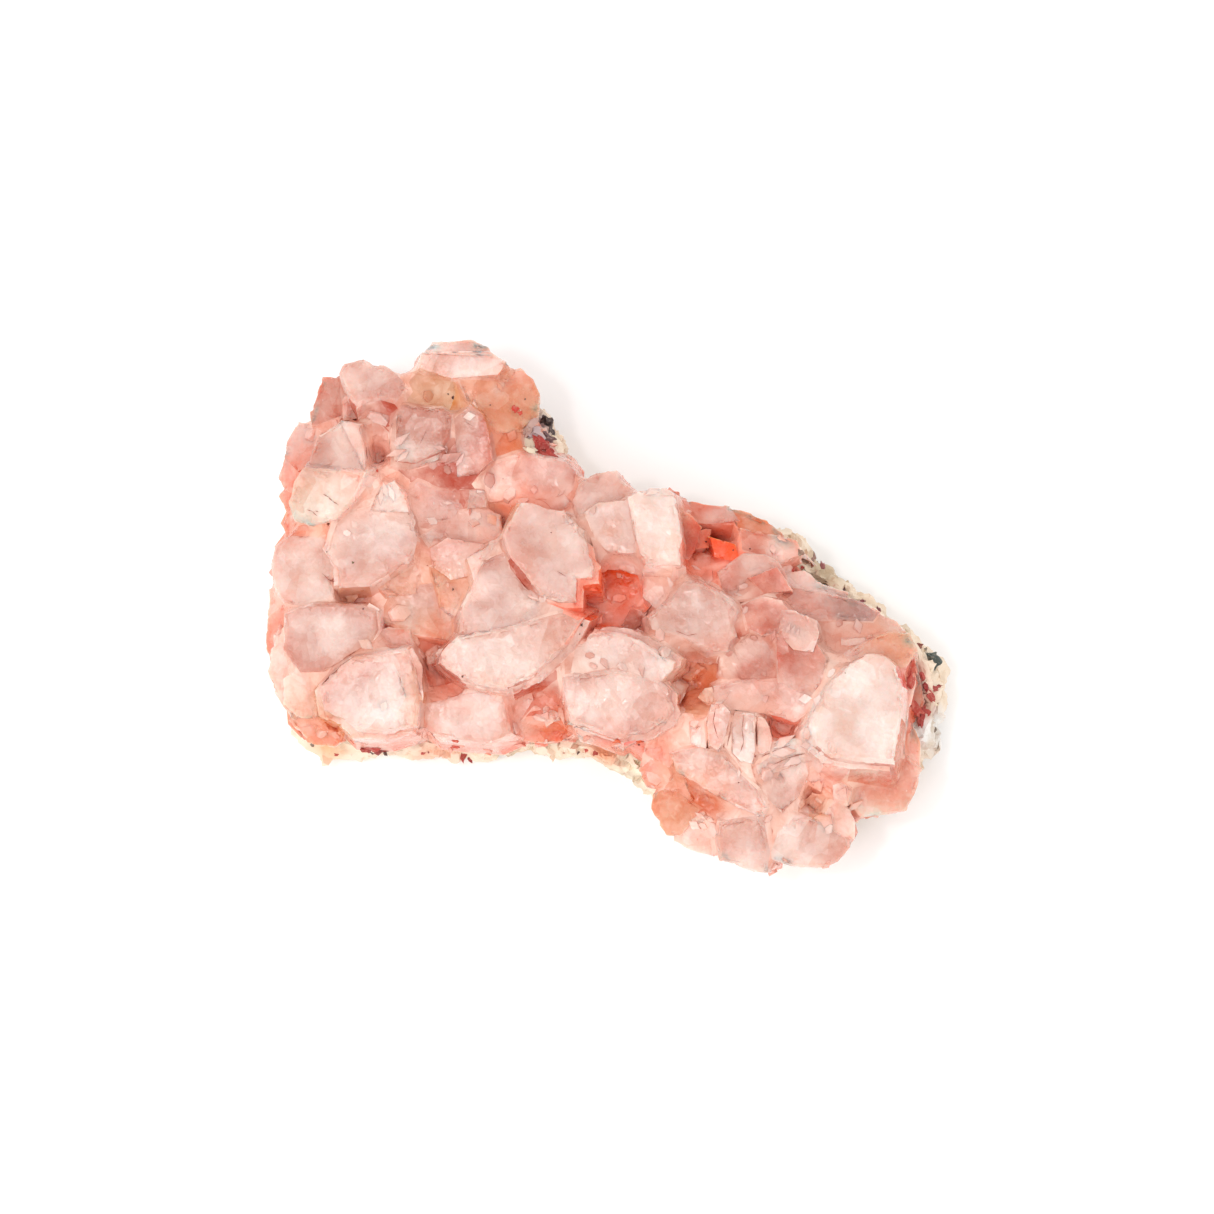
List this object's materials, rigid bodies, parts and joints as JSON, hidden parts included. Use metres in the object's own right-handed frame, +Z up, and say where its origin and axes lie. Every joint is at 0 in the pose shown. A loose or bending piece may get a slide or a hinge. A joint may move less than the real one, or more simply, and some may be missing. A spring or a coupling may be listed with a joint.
{
  "type": "heulandite cluster",
  "caption": "Hand specimen of pink to salmon heulandite: tabular pearly crystals packed on a rind of pale host rock",
  "frame": {"origin": "middle of the flat underside", "axes": "+X along the specimen to its bare broken end, +Y to the side of the raised upper lobe, +Z up"},
  "size_m": [0.0888, 0.069, 0.0253],
  "materials": {
    "heulandite": "pearly, translucent",
    "host_rock": "rough, earthy"
  },
  "bodies": {
    "root": {"heulandite_crystals": "heulandite", "rock_rind": "host_rock"}
  },
  "joints": []
}
